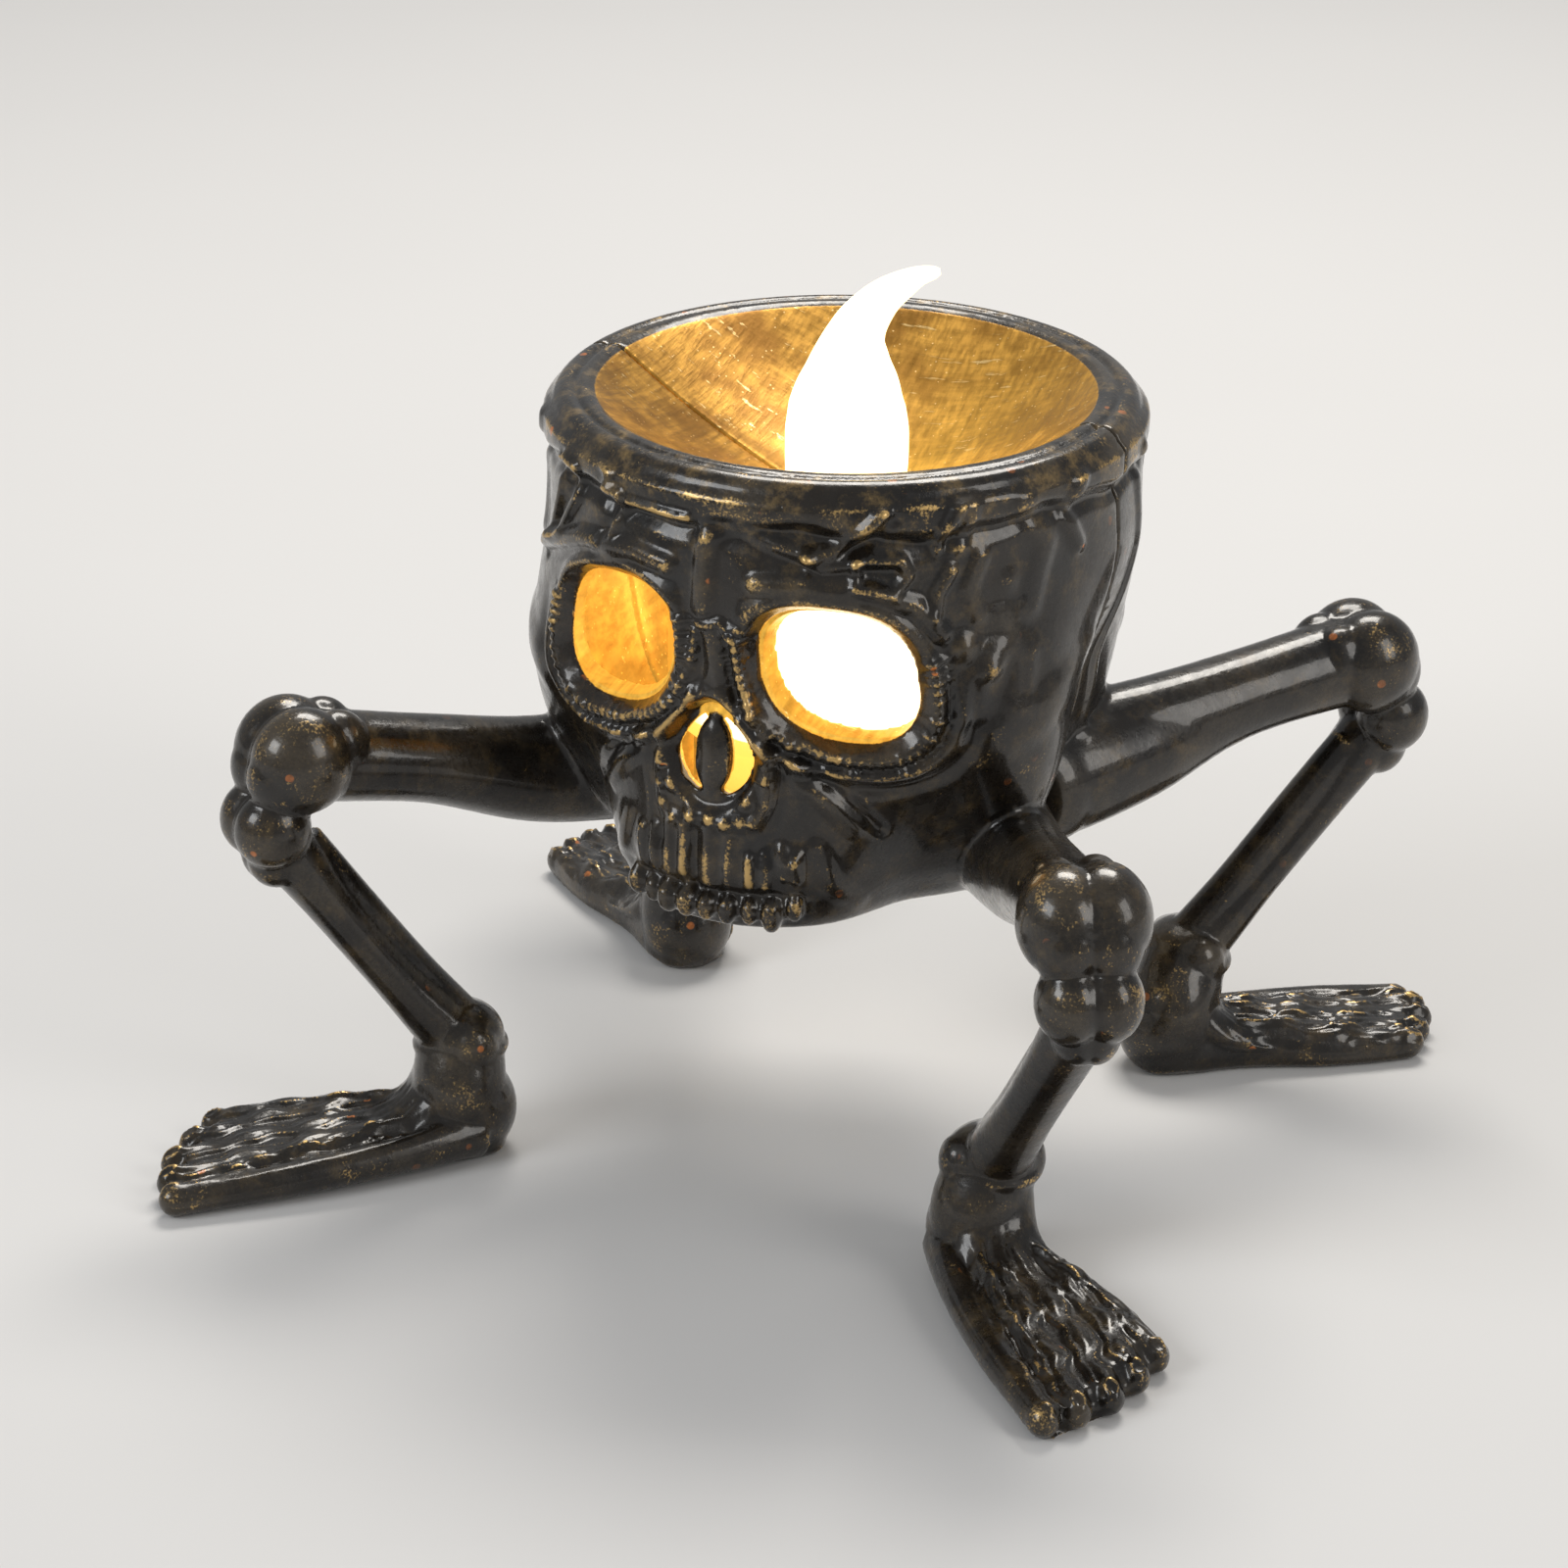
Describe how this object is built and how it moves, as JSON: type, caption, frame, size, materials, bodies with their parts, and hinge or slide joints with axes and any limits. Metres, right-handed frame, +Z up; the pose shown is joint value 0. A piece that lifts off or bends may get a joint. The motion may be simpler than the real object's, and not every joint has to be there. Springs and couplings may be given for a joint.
{
  "type": "skull flameless candle",
  "caption": "Hollow skull tealight holder on bent bone legs, with a battery lamp and a flame-shaped cap standing in its dished crown.",
  "frame": {"origin": "centre of the bounding box in X and Y, on the floor that the soles stand on", "axes": "+Z up through the flame, the face looks along -Y, +X is on the right for someone who looks at the face"},
  "size_m": [0.1108, 0.1053, 0.094],
  "materials": {
    "bronze_paint": "dark bronze paint with gold dry-brushed over the raised edges, gold inside",
    "flame_plastic": "translucent, lit from inside",
    "cup_plastic": "white, glowing from the lamp inside",
    "case_plastic": "cream, a little light from the lamp comes through it",
    "door_plastic": "cream, with a fine moulded texture",
    "black_plastic": "fine moulded texture",
    "steel": "plain bright steel",
    "nickel_strip": "nickel plated spring strip",
    "led_resin": "clear amber resin, lit",
    "tinned_wire": "tinned wire"
  },
  "bodies": {
    "holder": {"skull_front_half": "bronze_paint", "skull_rear_half": "bronze_paint", "flame": "flame_plastic", "candle_body": "cup_plastic", "battery_case": "case_plastic", "battery_door": "door_plastic", "door_screw": "steel", "coin_cell": "steel", "contact_positive": "nickel_strip", "contact_negative": "nickel_strip", "led": "led_resin", "led_lead_long": "tinned_wire", "led_lead_short": "tinned_wire"},
    "switch": {"switch_slider": "black_plastic"}
  },
  "joints": [
    {"name": "switch_slide", "type": "slide", "parent": "holder", "child": "switch", "axis": [1, 0, 0], "range_m": [0, 0.0024]}
  ]
}
